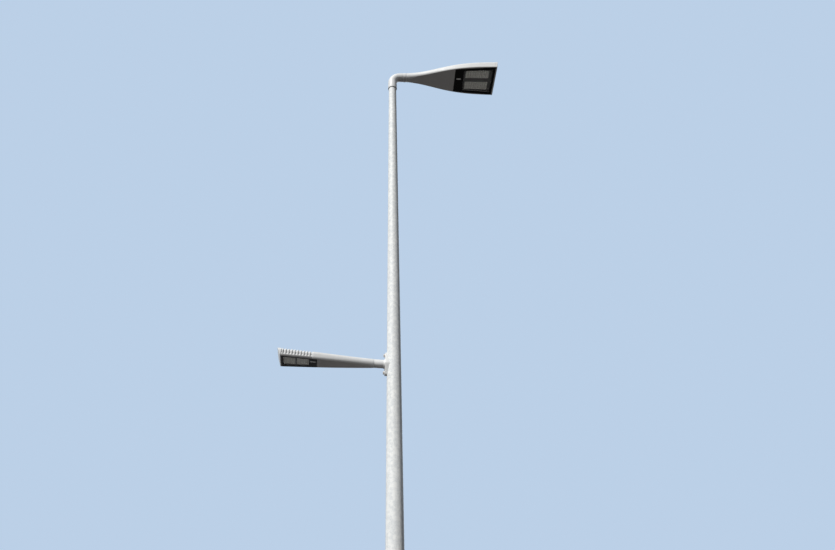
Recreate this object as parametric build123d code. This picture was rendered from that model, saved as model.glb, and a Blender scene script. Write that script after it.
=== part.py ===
from build123d import *
import os
from math import asin, cos, exp, pi, sin, sqrt

# Street light: a tapered galvanised pole on a bolted base plate, with a cast elbow that
# carries a wide lamp head at the top, and a bolted bracket lower down that carries a
# smaller, ribbed lamp head on the other side.
# Millimetres and degrees. +Z is up, +X is the way the upper lamp points, and the origin
# is the centre of the base plate's underside.

# Pole
pole_base_diameter = 174.0
pole_top_diameter = 76.2
pole_wall = 4.0
pole_top_z = 6985.0

# Base plate and its holes
plate_side = 350.0
plate_thickness = 20.0
plate_corner_radius = 25.0
anchor_spacing = 250.0
anchor_hole_diameter = 30.0
cable_hole_diameter = 50.0
cable_hole_spacing = 90.0
weld_leg = 9.0

# Service door in the pole, on the side that faces -Y
door_centre_z = 700.0
door_height = 400.0
door_width = 90.0
door_gap = 1.0
door_frame_lap = 10.0
door_frame_thickness = 4.0
door_frame_gap = 0.4
lock_diameter = 22.0
lock_height = 5.0
lock_inset = 45.0
lock_key_width = 9.0

# Cast elbow over the pole's top
sleeve_overlap = 85.0
sleeve_wall = 6.0
sleeve_gap = 1.8
elbow_seat_gap = 1.0
bend_radius = 80.0
bend_wall = 4.5
elbow_straight = 37.0
elbow_end_diameter = 92.0
grub_screw_diameter = 10.0
grub_screw_count = 3
grub_screw_turn = -110.0
grub_screw_from_rim = 68.0
grub_screw_tip_gap = 0.2

# Round nose that each lamp head slides over
nose_diameter = 60.0
nose_bore_diameter = 48.0
nose_length = 110.0
slide_gap = 0.3

# Clamp ring between the elbow and the upper lamp head
ring_length = 32.0
ring_diameter = 94.0
ring_screw_diameter = 10.0
ring_screw_height = 5.0
ring_screw_turn = 35.0
ring_joint_gap = 0.5

# Upper lamp head
upper_neck_diameter = 92.0
upper_length = 950.0
upper_head_width = 422.0
upper_shoulder_length = 464.0
upper_shoulder_lead = 40.0
upper_head_top = 61.0
upper_head_crown = 12.0
upper_head_fall = 37.0
upper_underside_drop = 30.5
upper_ramp_from_neck = 30.0
upper_ramp_length = 90.0
upper_end_cap_length = 11.0
upper_end_cap_lean = 11.0
upper_end_cap_proud = 1.5
upper_frame_length = 415.0
upper_frame_margin = 18.0
upper_frame_bar = 74.0
upper_frame_border = 24.0
upper_board_length = 262.0
upper_board_width = 105.0
upper_board_spacing = 165.0
upper_board_from_frame_end = 59.0
upper_board_depth = 17.0
upper_catch_from_frame_start = 37.0
upper_catch_offset = -28.0

# Lower lamp head and the way its arm points
lower_axis_z = 3785.0
lower_turn = 185.6
lower_tilt = 2.0
lower_neck_diameter = 75.0
lower_neck_start = 171.0
lower_length = 773.0
lower_head_width = 252.0
lower_side_bow = 0.45
lower_head_top = 43.5
lower_head_crown = 6.0
lower_head_fall = 41.0
lower_underside_drop = 33.0
lower_ramp_length = 60.0
lower_sink_gap = 5.0
lower_end_lip_length = 5.0
lower_end_lip_lean = 28.0
lower_end_lip_proud = 1.5
lower_frame_length = 294.0
lower_frame_margin = 6.0
lower_frame_bar = 66.0
lower_frame_border = 16.0
lower_module_length = 100.0
lower_module_width = 146.0
lower_module_spacing = 112.0
lower_module_from_frame_end = 15.0
lower_module_depth = 12.0
lower_catch_from_frame_start = 34.0
lower_catch_offset = 35.0

# Cooling ribs on the lower lamp head
rib_count = 10
rib_pitch = 24.6
rib_thickness = 13.0
rib_depth = 8.0
rib_rim_height = 26.0

# Shared pieces of both lamp heads
frame_thickness = 5.0
frame_proud = 1.0
frame_corner_radius = 8.0
frame_end_wall = 3.0
glass_thickness = 4.0
glass_lap = 10.0
tray_thickness = 3.0
board_thickness = 3.0
catch_length = 48.0
catch_width = 18.0
catch_height = 4.0
head_shoulder_radius = 26.0
head_heel_radius = 16.0
neck_flat = 0.5
neck_crown_share = 0.7
section_step = 60.0

# Bolted bracket of the lower arm
flange_outer_face = 78.0
flange_height = 207.0
flange_width = 88.0
flange_end_radius = 23.0
flange_pole_gap = 0.4
flange_bolt_spacing = 155.0
flange_bolt_diameter = 16.0
flange_bolt_head = 24.0
flange_bolt_head_height = 10.0
flange_washer_diameter = 30.0
flange_washer_thickness = 3.0
flange_bolt_gap = 0.25
spigot_diameter = 72.0
spigot_cone_length = 12.0
spigot_cone_diameter = 84.0

# Worked out from the sizes above
bend_start_z = pole_top_z + elbow_seat_gap
upper_axis_z = bend_start_z + bend_radius
sleeve_rim_z = pole_top_z - sleeve_overlap
elbow_end_x = bend_radius + elbow_straight
ring_start_x = elbow_end_x + ring_joint_gap
upper_neck_start = ring_start_x + ring_length + ring_joint_gap
upper_tip = upper_neck_start + upper_length
lower_tip = lower_neck_start + lower_length
lower_place = Pos(0, 0, lower_axis_z) * Rot(0, 0, lower_turn) * Rot(0, -lower_tilt, 0)
upper_place = Pos(0, 0, upper_axis_z)


def pole_radius(z):
    """Outer radius of the pole at height z: a straight taper from base to top."""
    share = (z - plate_thickness) / (pole_top_z - plate_thickness)
    return (pole_base_diameter + (pole_top_diameter - pole_base_diameter) * share) / 2


def pole_cone(inset, low=plate_thickness, high=pole_top_z):
    """A solid cone between two heights, the given distance inside the pole's outer face."""
    cone = Cone(pole_radius(low) - inset, pole_radius(high) - inset, high - low)
    return Pos(0, 0, (low + high) / 2) * cone


def rod(diameter, start, end):
    """A round bar along the local X axis from start to end."""
    bar = Cylinder(diameter / 2, end - start, rotation=(0, 90, 0))
    return Pos((start + end) / 2, 0, 0) * bar


def door_prism(margin):
    """The door's outline, grown by a margin, run through the pole's -Y wall."""
    outline = Plane.XZ * SlotOverall(door_height + 2 * margin, door_width + 2 * margin, rotation=90)
    return Pos(0, 0, door_centre_z) * extrude(outline, pole_base_diameter)


class LampHead:
    """The formula of a lamp head: a round neck that widens into a flat head.

    Every size of a section goes from its value at the neck, where the section is a circle,
    to its value at the head, by the share that the widening function gives.
    """

    def __init__(self, start, tip, neck, width, top, crown, fall, drop, widening):
        self.start = start
        self.tip = tip
        self.neck = neck / 2
        self.half_width = width / 2
        self.top = top
        self.crown = crown
        self.fall = fall
        self.drop = drop
        self.widening = widening

    def blend(self, x, at_neck, at_head):
        return at_neck + (at_head - at_neck) * self.widening(x)

    def half(self, x):
        return self.blend(x, self.neck, self.half_width)

    def outline(self, x, proud=0.0):
        """The closed section at x: crown arc, two shoulders, two sides, two heels, bottom."""
        half = self.half(x) + proud
        top = self.blend(x, self.neck, self.top) + proud
        fall = self.blend(x, self.neck, self.fall) + proud
        crown = self.blend(x, self.neck * neck_crown_share, self.crown)
        shoulder = self.blend(x, self.neck - neck_flat, head_shoulder_radius)
        heel = self.blend(x, self.neck - neck_flat, head_heel_radius)
        crown_radius = (half**2 + crown**2) / (2 * crown)
        reach = half - shoulder
        shoulder_z = top - crown_radius + sqrt((crown_radius - shoulder) ** 2 - reach**2)
        heel_z = heel - fall
        slope = asin(reach / (crown_radius - shoulder))
        mid = (pi / 2 - slope) / 2
        crown_y = crown_radius * sin(slope)
        crown_z = top - crown_radius + crown_radius * cos(slope)
        diagonal = heel * sqrt(0.5)
        sides = []
        for side in (-1, 1):
            shoulder_mid = (x, side * (reach + shoulder * cos(mid)), shoulder_z + shoulder * sin(mid))
            heel_mid = (x, side * (half - heel + diagonal), heel_z - diagonal)
            shoulder_low = (x, side * half, shoulder_z)
            heel_high = (x, side * half, heel_z)
            sides += [
                ThreePointArc((x, side * crown_y, crown_z), shoulder_mid, shoulder_low),
                Line(shoulder_low, heel_high),
                ThreePointArc(heel_high, heel_mid, (x, side * (half - heel), -fall)),
            ]
        top_arc = ThreePointArc((x, -crown_y, crown_z), (x, 0, top), (x, crown_y, crown_z))
        bottom = Line((x, heel - half, -fall), (x, half - heel, -fall))
        return Wire([top_arc, bottom, *sides])

    def flat_half_width(self, x):
        """Half width of the flat underside at x, where the flat meets the heels' arcs."""
        heel = self.blend(x, self.neck - neck_flat, head_heel_radius)
        below = max(0.0, self.drop - self.blend(x, self.neck, self.fall) + heel)
        return self.half(x) - heel + sqrt(heel**2 - below**2)

    def body(self, low, high, proud=0.0):
        """The skin through the outlines from low to high, closed at both ends."""
        steps = max(1, round((high - low) / section_step))
        stations = [low + (high - low) * step / steps for step in range(steps + 1)]
        return Solid.make_loft([self.outline(x, proud) for x in stations])

    def slab(self, low, high, proud=0.0):
        """A slice of even section from low to high."""
        slice_face = Face(self.outline((low + high) / 2, proud))
        return Pos((low - high) / 2, 0, 0) * extrude(slice_face, high - low, dir=(1, 0, 0))

    def underside_cut(self, ramp_start, ramp_end):
        """What is cut away below: a ramp from the neck's lowest line to the flat underside."""
        deep = -2 * self.neck
        far = 2 * self.tip
        side = Polyline(
            (ramp_start, -self.neck),
            (ramp_end, -self.drop),
            (far, -self.drop),
            (far, deep),
            (ramp_start, deep),
            close=True,
        )
        return extrude(Plane.XZ * make_face(side), 2 * self.half_width, both=True)

    def trapezoid(self, low, high, margin, z_low, z_high, corner=0.0):
        """A plate whose sides keep a margin to the underside's edges, with rounded corners."""
        near = self.flat_half_width(low) - margin
        far = self.flat_half_width(high) - margin
        plan = make_face(Polyline((low, -near), (high, -far), (high, far), (low, near), close=True))
        if corner:
            plan = fillet(plan.vertices(), corner)
        return extrude(Plane.XY.offset(z_low) * plan, z_high - z_low)


def optics(head, frame_start, frame_end, margin, bar, border, tray_depth):
    """Frame, glass and tray of one head, and the pocket that holds them."""
    face = -head.drop - frame_proud
    ledge = face + frame_thickness
    ceiling = face + tray_depth + board_thickness + tray_thickness
    window_start = frame_start + bar
    window_end = frame_end - border
    side = margin + border
    frame = head.trapezoid(frame_start, frame_end, margin, face, ledge, frame_corner_radius)
    window = head.trapezoid(window_start, window_end, side, face, ledge, frame_corner_radius)
    lap = glass_lap
    inner = (window_start - lap, window_end + lap, side - lap)
    glass = head.trapezoid(*inner, ledge, ledge + glass_thickness, frame_corner_radius)
    tray = head.trapezoid(*inner, ceiling - tray_thickness, ceiling, frame_corner_radius)
    outer_pocket = head.trapezoid(
        frame_start - slide_gap,
        frame_end + slide_gap,
        margin - slide_gap,
        face - frame_thickness,
        ledge,
        frame_corner_radius + slide_gap,
    )
    inner_pocket = head.trapezoid(
        inner[0] - slide_gap,
        inner[1] + slide_gap,
        inner[2] - slide_gap,
        face,
        ceiling,
        frame_corner_radius + slide_gap,
    )
    return frame - window, glass, tray, outer_pocket + inner_pocket


def plate_box(x_low, x_high, y_low, y_high, z_low, z_high):
    """A plain block between six faces."""
    block = Box(x_high - x_low, y_high - y_low, z_high - z_low)
    return Pos((x_low + x_high) / 2, (y_low + y_high) / 2, (z_low + z_high) / 2) * block


def catch(x, y, face):
    """A small oval catch plate under the frame."""
    outline = SlotOverall(catch_length, catch_width)
    return Pos(x, y, face - catch_height) * extrude(outline, catch_height)


def end_piece(head, start, length, lean, proud):
    """The lip that closes a head: it stands proud of the skin and leans out at the top."""
    slope_base = start + length
    slope_top = slope_base + lean
    high = 2 * head.top
    far = slope_base + 3 * (length + lean)
    side = Polyline(
        (slope_base, -head.drop),
        (slope_top, head.top),
        (slope_top + lean * (high - head.top) / (head.top + head.drop), high),
        (far, high),
        (far, -high),
        (slope_base, -high),
        close=True,
    )
    cut = extrude(Plane.XZ * make_face(side), 2 * head.half_width, both=True)
    return head.slab(start, slope_top + lean, proud) - cut - head.underside_cut(0, start / 2)


def bell_widening(x):
    """Share of the full width: 1 less a bell curve that starts a little before the neck."""
    distance = x - upper_neck_start + upper_shoulder_lead
    return 1 - exp(-((distance / upper_shoulder_length) ** 2))


def bowed_widening(x):
    """Share of the full width: nearly straight from neck to tip, with a slight bow."""
    share = (x - lower_neck_start) / lower_length
    return (1 + lower_side_bow) * share - lower_side_bow * share**2


parts = {}

# Base plate: square, four anchor holes and two cable holes
plate_plan = RectangleRounded(plate_side, plate_side, plate_corner_radius)
plate_plan -= GridLocations(anchor_spacing, anchor_spacing, 2, 2) * Circle(anchor_hole_diameter / 2)
plate_plan -= GridLocations(cable_hole_spacing, 0, 2, 1) * Circle(cable_hole_diameter / 2)
parts["base_plate"] = extrude(plate_plan, plate_thickness)

weld_foot = pole_radius(plate_thickness)
weld_outline = Polyline(
    (weld_foot, plate_thickness),
    (weld_foot + weld_leg, plate_thickness),
    (pole_radius(plate_thickness + weld_leg), plate_thickness + weld_leg),
    close=True,
)
parts["base_weld"] = revolve(Plane.XZ * make_face(weld_outline), Axis.Z)

# Pole: a hollow cone with its door opening, and the holes behind the lower bracket
cable_bore = rod(nose_bore_diameter, 0, flange_outer_face)
bolt_places = [Pos(0, 0, flange_bolt_spacing * side / 2) for side in (-1, 1)]
bolt_hole_size = flange_bolt_diameter + 2 * flange_bolt_gap
bolt_bores = [place * rod(bolt_hole_size, 0, flange_outer_face) for place in bolt_places]
shaft = pole_cone(0) - pole_cone(pole_wall)
shaft -= door_prism(0)
for bore in (cable_bore, *bolt_bores):
    shaft -= lower_place * bore
parts["pole_shaft"] = shaft

# Service door: the frame lines the opening from inside, and the cover rests on it
door_low = door_centre_z - door_height
door_high = door_centre_z + door_height
frame_outer = pole_wall + door_frame_gap
frame_shell = pole_cone(frame_outer, door_low, door_high)
frame_shell -= pole_cone(frame_outer + door_frame_thickness, door_low, door_high)
parts["door_frame"] = frame_shell & (door_prism(door_frame_lap) - door_prism(-door_frame_lap))
cover_shell = pole_cone(0, door_low, door_high) - pole_cone(pole_wall, door_low, door_high)
parts["door_cover"] = cover_shell & door_prism(-door_gap)

lock_reach = (door_height / 2) - lock_inset
locks = []
for side in (-1, 1):
    lock_z = door_centre_z + side * lock_reach
    lock_base = pole_radius(lock_z)
    barrel = Pos(0, -lock_base, lock_z) * Cylinder(
        lock_diameter / 2, 2 * lock_height, rotation=(90, 0, 0)
    )
    key = RegularPolygon(lock_key_width / 2, 3)
    key_way = extrude(Plane.XZ.offset(lock_base + lock_height / 2) * Pos(0, lock_z) * key, lock_height)
    locks.append(barrel - key_way - pole_cone(0, door_low, door_high))
parts["door_locks"] = Compound(children=locks)

# Elbow: sleeve, quarter bend, short arm and the nose that the lamp slides over
sleeve_bore = pole_radius(sleeve_rim_z) + sleeve_gap
bend_outer = sleeve_bore + bend_wall
sleeve_length = bend_start_z - sleeve_rim_z
sleeve = Cone(sleeve_bore + sleeve_wall, bend_outer, sleeve_length)
sleeve -= Cylinder(sleeve_bore, sleeve_length)
sleeve = Pos(0, 0, (sleeve_rim_z + bend_start_z) / 2) * sleeve

grub_z = sleeve_rim_z + grub_screw_from_rim
grub_tip = pole_radius(grub_z) + grub_screw_tip_gap
grub_screws = []
for index in range(grub_screw_count):
    turn = Pos(0, 0, grub_z) * Rot(0, 0, grub_screw_turn + 360 * index / grub_screw_count)
    sleeve -= turn * rod(grub_screw_diameter, sleeve_bore / 2, 2 * bend_outer)
    grub_screws.append(turn * rod(grub_screw_diameter, grub_tip, bend_outer))
parts["elbow_grub_screws"] = Compound(children=grub_screws)

bend_axis = Axis((bend_radius, 0, bend_start_z), (0, 1, 0))
bend_ring = Circle(bend_outer) - Circle(sleeve_bore)
bend = revolve(Plane.XY.offset(bend_start_z) * bend_ring, bend_axis, 90)
arm = Pos(bend_radius + elbow_straight / 2, 0, upper_axis_z) * Cone(
    bend_outer, elbow_end_diameter / 2, elbow_straight, rotation=(0, 90, 0)
)
nose_end = upper_neck_start + nose_length
nose = upper_place * rod(nose_diameter, elbow_end_x, nose_end)
arm_bore = upper_place * rod(nose_bore_diameter, bend_radius, nose_end)
parts["elbow_bracket"] = sleeve + bend + ((arm + nose) - arm_bore)

# Clamp ring on the nose, with its two screws
ring_end_x = ring_start_x + ring_length
ring = rod(ring_diameter, ring_start_x, ring_end_x)
ring -= rod(nose_diameter + 2 * slide_gap, ring_start_x, ring_end_x)
parts["upper_clamp_ring"] = upper_place * ring
ring_screws = []
for side in (-1, 1):
    turn = Rot(-90 + ring_screw_turn * side, 0, 0)
    screw_top = ring_diameter / 2 + ring_screw_height
    screw = Pos((ring_start_x + ring_end_x) / 2, 0, screw_top / 2) * Cylinder(
        ring_screw_diameter / 2, screw_top
    )
    ring_screws.append(upper_place * turn * (screw - rod(ring_diameter, ring_start_x, ring_end_x)))
parts["upper_clamp_screws"] = Compound(children=ring_screws)

# Upper lamp head
upper = LampHead(
    upper_neck_start,
    upper_tip,
    upper_neck_diameter,
    upper_head_width,
    upper_head_top,
    upper_head_crown,
    upper_head_fall,
    upper_underside_drop,
    bell_widening,
)
upper_cap_start = upper_tip - upper_end_cap_length
upper_frame_end = upper_cap_start - frame_end_wall
upper_frame_start = upper_frame_end - upper_frame_length
upper_frame, upper_glass, upper_tray, upper_pocket = optics(
    upper,
    upper_frame_start,
    upper_frame_end,
    upper_frame_margin,
    upper_frame_bar,
    upper_frame_border,
    upper_board_depth,
)
ramp_start = upper.start + upper_ramp_from_neck
upper_below = upper.underside_cut(ramp_start, ramp_start + upper_ramp_length) + upper_pocket
upper_housing = upper.body(upper.start, upper_cap_start) - upper_below
upper_housing -= rod(nose_diameter + 2 * slide_gap, upper.start, nose_end + slide_gap)
parts["upper_housing"] = upper_place * upper_housing
parts["upper_end_cap"] = upper_place * end_piece(
    upper, upper_cap_start, upper_end_cap_length, upper_end_cap_lean, upper_end_cap_proud
)
parts["upper_glass_frame"] = upper_place * upper_frame
parts["upper_glass"] = upper_place * upper_glass
parts["upper_gear_tray"] = upper_place * upper_tray

upper_face = -upper_underside_drop - frame_proud
board_low = upper_face + upper_board_depth
board_end = upper_frame_end - upper_board_from_frame_end
for name, side in (("near", -1), ("far", 1)):
    middle = side * upper_board_spacing / 2
    board = plate_box(
        board_end - upper_board_length,
        board_end,
        middle - upper_board_width / 2,
        middle + upper_board_width / 2,
        board_low,
        board_low + board_thickness,
    )
    parts["upper_led_board_" + name] = upper_place * board
parts["upper_catch"] = upper_place * catch(
    upper_frame_start + upper_catch_from_frame_start, upper_catch_offset, upper_face
)

# Bracket of the lower arm: a cast flange hollowed to fit the pole, its spigot and bolts
flange_circles = Circle(flange_width / 2).edges()
end_shift = flange_height / 2 - flange_end_radius
for side in (-1, 1):
    flange_circles += (Pos(0, side * end_shift) * Circle(flange_end_radius)).edges()
flange = extrude(Plane.YZ * make_hull(flange_circles), flange_outer_face)
for bore in (cable_bore, *bolt_bores):
    flange -= bore
parts["bracket_flange"] = lower_place * flange - pole_cone(-flange_pole_gap)

spigot = rod(spigot_diameter, flange_outer_face, lower_neck_start - ring_joint_gap)
cone = Cone(spigot_cone_diameter / 2, spigot_diameter / 2, spigot_cone_length, rotation=(0, 90, 0))
spigot += Pos(flange_outer_face + spigot_cone_length / 2, 0, 0) * cone
spigot += rod(nose_diameter, flange_outer_face, lower_neck_start + nose_length)
spigot -= rod(nose_bore_diameter, flange_outer_face, lower_neck_start + nose_length)
parts["bracket_spigot"] = lower_place * spigot

bolts = []
washer_face = flange_outer_face + flange_washer_thickness
for place in bolt_places:
    bolt = rod(flange_bolt_diameter, flange_outer_face / 2, washer_face)
    bolt += rod(flange_washer_diameter, flange_outer_face, washer_face)
    hexagon = RegularPolygon(flange_bolt_head / 2, 6, major_radius=False)
    bolt += extrude(Plane.YZ.offset(washer_face) * hexagon, flange_bolt_head_height)
    bolts.append(lower_place * place * bolt)
parts["bracket_bolts"] = Compound(children=bolts)

# Lower lamp head: smooth gear housing, ribbed heat sink and end lip
lower = LampHead(
    lower_neck_start,
    lower_tip,
    lower_neck_diameter,
    lower_head_width,
    lower_head_top,
    lower_head_crown,
    lower_head_fall,
    lower_underside_drop,
    bowed_widening,
)
lip_start = lower_tip - lower_end_lip_length
sink_start = lip_start - rib_count * rib_pitch - lower_sink_gap
lower_frame_end = lip_start - frame_end_wall
lower_frame_start = lower_frame_end - lower_frame_length
lower_frame, lower_glass, lower_tray, lower_pocket = optics(
    lower,
    lower_frame_start,
    lower_frame_end,
    lower_frame_margin,
    lower_frame_bar,
    lower_frame_border,
    lower_module_depth,
)
lower_below = lower.underside_cut(lower.start, lower.start + lower_ramp_length) + lower_pocket
gear_housing = lower.body(lower.start, sink_start) - lower_below
gear_housing -= rod(nose_diameter + 2 * slide_gap, lower.start, lower.start + nose_length + slide_gap)
parts["lower_gear_housing"] = lower_place * gear_housing

# The heat sink is one casting: a core, a smooth rim along its lower edge, and the ribs
rim_top = rib_rim_height - lower_underside_drop
above_rim = plate_box(
    sink_start, lip_start, -lower_head_width, lower_head_width, rim_top, lower_head_width
)
sink = lower.body(sink_start, lip_start, -rib_depth) & above_rim
sink += lower.trapezoid(sink_start, lip_start, 0, -lower_underside_drop, rim_top)
for index in range(rib_count):
    middle = lip_start - (rib_count - index - 0.5) * rib_pitch
    sink += lower.slab(middle - rib_thickness / 2, middle + rib_thickness / 2) & above_rim
parts["lower_heat_sink"] = lower_place * (sink - lower_pocket)
parts["lower_end_lip"] = lower_place * end_piece(
    lower, lip_start, lower_end_lip_length, lower_end_lip_lean, lower_end_lip_proud
)
parts["lower_glass_frame"] = lower_place * lower_frame
parts["lower_glass"] = lower_place * lower_glass
parts["lower_gear_tray"] = lower_place * lower_tray

lower_face = -lower_underside_drop - frame_proud
module_low = lower_face + lower_module_depth
tip_module_end = lower_frame_end - lower_module_from_frame_end
for name, shift in (("tip", 0), ("arm", lower_module_spacing)):
    module = plate_box(
        tip_module_end - shift - lower_module_length,
        tip_module_end - shift,
        -lower_module_width / 2,
        lower_module_width / 2,
        module_low,
        module_low + board_thickness,
    )
    parts["lower_led_module_" + name] = lower_place * module
parts["lower_catch"] = lower_place * catch(
    lower_frame_start + lower_catch_from_frame_start, lower_catch_offset, lower_face
)

os.makedirs("parts", exist_ok=True)
for name, shape in parts.items():
    export_step(shape, f"parts/{name}.step")
    box = shape.bounding_box()
    print(f"{name:22s} volume {shape.volume / 1000:10.1f} cm3  size {box.size}")
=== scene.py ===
# %% [markdown]
# # A street light with two lamp heads
# A tapered galvanised pole carries a wide lamp head on a cast elbow at its top, and a
# smaller, ribbed lamp head on a bolted bracket lower down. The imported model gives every
# piece its place and size. This lesson gives the pieces their real surfaces: soft cast
# edges, welds, screws, lenses, zinc and paint.

from math import cos, pi, radians, sin

import bmesh
import bpy
import numpy as np
from mathutils import Matrix


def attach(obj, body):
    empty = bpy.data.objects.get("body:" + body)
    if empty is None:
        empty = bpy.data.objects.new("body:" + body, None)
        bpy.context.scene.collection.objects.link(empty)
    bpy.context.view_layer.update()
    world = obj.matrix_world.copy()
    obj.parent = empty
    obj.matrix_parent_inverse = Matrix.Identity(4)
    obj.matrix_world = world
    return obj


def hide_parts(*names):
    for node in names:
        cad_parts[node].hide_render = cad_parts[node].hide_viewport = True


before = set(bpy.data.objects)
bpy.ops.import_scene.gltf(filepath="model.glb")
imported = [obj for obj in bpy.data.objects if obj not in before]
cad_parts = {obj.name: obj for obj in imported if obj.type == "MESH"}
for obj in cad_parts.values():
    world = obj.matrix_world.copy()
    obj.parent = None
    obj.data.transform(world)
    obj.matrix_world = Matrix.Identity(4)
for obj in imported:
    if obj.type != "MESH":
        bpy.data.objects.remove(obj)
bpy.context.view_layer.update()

# %% [markdown]
# ## The camera
# The light is seen from the ground, at eye height, 5.5 m from the pole. The camera could
# track an empty, but three angles say more: the heading from +Y towards +X, the pitch
# above the horizon, and a small roll of the hand. The roll mixes the level direction with
# the one above it, and the three directions make the columns of the camera's matrix.


# %% Camera from heading, pitch and roll
def direction(heading, pitch):
    """The unit vector at a heading from +Y towards +X and a pitch above the horizon."""
    return np.array([sin(heading) * cos(pitch), cos(heading) * cos(pitch), sin(pitch)])


def put_in_scene(name, data, to_right, to_top, ahead, place=(0, 0, 0)):
    """A new object that looks ahead along its own -Z, with its X and Y axes as given."""
    turned = np.eye(4)
    turned[:3, :3] = np.column_stack([to_right, to_top, -ahead])
    turned[:3, 3] = place
    made = bpy.data.objects.new(name, data)
    made.matrix_world = Matrix(turned.tolist())
    bpy.context.scene.collection.objects.link(made)
    print(name, "looks along", ahead.round(3))
    return made


heading, pitch, roll = radians(3.27), radians(28.874), radians(-1.3916)
ahead = direction(heading, pitch)
level = np.array([cos(heading), -sin(heading), 0.0])
above = np.cross(level, ahead)
to_right = cos(roll) * level + sin(roll) * above
to_top = cos(roll) * above - sin(roll) * level
optics = bpy.data.cameras.new("camera")
optics.sensor_width, optics.lens = 36.0, 30.1
camera_place = (-0.0984, -5.5249, 1.6)
camera = put_in_scene("camera", optics, to_right, to_top, ahead, camera_place)
bpy.context.scene.camera = camera

# %% [markdown]
# ## Light and background
# One broad lamp stands high on the camera's left, so the side towards the camera is lit
# and the undersides stay in shade, as outdoors. A sun lamp with a wide angle does that with
# soft shadow edges at any distance, where an area lamp would fall off along 7 m of pole.
# A weaker one behind the pole keeps its far side readable.


# %% Key lamp, back lamp and view transform
def sun_lamp(name, heading, height, energy, softness, colour):
    """A sun lamp whose light travels along a heading and down from a height."""
    lamp = bpy.data.lights.new(name, "SUN")
    lamp.energy, lamp.angle, lamp.color = energy, softness, colour
    travel = direction(heading, -height)
    side = np.cross(travel, (0, 0, 1))
    side /= np.linalg.norm(side)
    put_in_scene(name, lamp, side, np.cross(side, travel), travel)


bpy.context.scene.view_settings.view_transform = "Standard"
sun_lamp("key_lamp", radians(40), radians(43), 3.8, radians(9), (1.0, 0.985, 0.96))
sun_lamp("back_lamp", radians(197), radians(20), 1.0, radians(40), (0.95, 0.98, 1.0))

# %% [markdown]
# Background and finishes are networks of shader nodes. Three helpers keep them short: one
# adds a node and links or sets its inputs, one carries a value onto another range, and one
# works out two values together.


# %% Helpers that make and link shader nodes
def node(tree, kind, inputs=None, **settings):
    """Adds a node; an input given as a socket is linked, any other is set."""
    made = tree.nodes.new(kind)
    for name, value in settings.items():
        setattr(made, name, value)
    for name, value in (inputs or {}).items():
        if isinstance(value, bpy.types.NodeSocket):
            tree.links.new(value, made.inputs[name])
        else:
            made.inputs[name].default_value = value
    return made


def spread(tree, value, low, high, to_low, to_high):
    """Carries a value from one range onto another, held at both ends."""
    inputs = {"Value": value, "From Min": low, "From Max": high, "To Min": to_low, "To Max": to_high}
    return node(tree, "ShaderNodeMapRange", inputs).outputs[0]


def combined(tree, operation, first, second):
    """The result of one operation on two values."""
    return node(tree, "ShaderNodeMath", {0: first, 1: second}, operation=operation).outputs[0]


# %% [markdown]
# The world gives the fill: more from above than from below, and less from the right, where
# a studio has its dark side. The camera, glass and metal see a plain pale backdrop instead.

# %% World: pale backdrop to look at, soft fill to be lit by
world = bpy.data.worlds.new("studio")
bpy.context.scene.world = world
world.use_nodes = True
sky = world.node_tree
sky.nodes.clear()
rays = node(sky, "ShaderNodeLightPath").outputs
mirrored = combined(sky, "MAXIMUM", rays["Is Camera Ray"], rays["Is Glossy Ray"])
seen = combined(sky, "MAXIMUM", mirrored, rays["Is Transmission Ray"])
facing = node(sky, "ShaderNodeTexCoord").outputs["Generated"]
way = node(sky, "ShaderNodeSeparateXYZ", {"Vector": facing}).outputs
from_above = spread(sky, way["Z"], -0.1, 0.7, 0.07, 0.20)
dark_side = spread(sky, way["X"], -0.2, 0.6, 1.0, 0.4)
fill = combined(sky, "MULTIPLY", from_above, dark_side)
soft = node(sky, "ShaderNodeBackground", {"Color": (0.90, 0.95, 1.0, 1), "Strength": fill})
backdrop = node(sky, "ShaderNodeBackground", {"Color": (0.50, 0.63, 0.80, 1), "Strength": 1.0})
chosen = node(sky, "ShaderNodeMixShader", {0: seen, 1: soft.outputs[0], 2: backdrop.outputs[0]})
node(sky, "ShaderNodeOutputWorld", {"Surface": chosen.outputs[0]})
print("world nodes", len(sky.nodes))

# %% [markdown]
# ## Finishes
# Every finish is a small network on Object coordinates, so a pattern keeps its real size
# in metres on every piece. The class below starts one with plain numbers on its shader,
# keeps the paint slot it stands for, and adds what the networks share: noise, a blend of
# two colours, a varied roughness and a bump.


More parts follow.
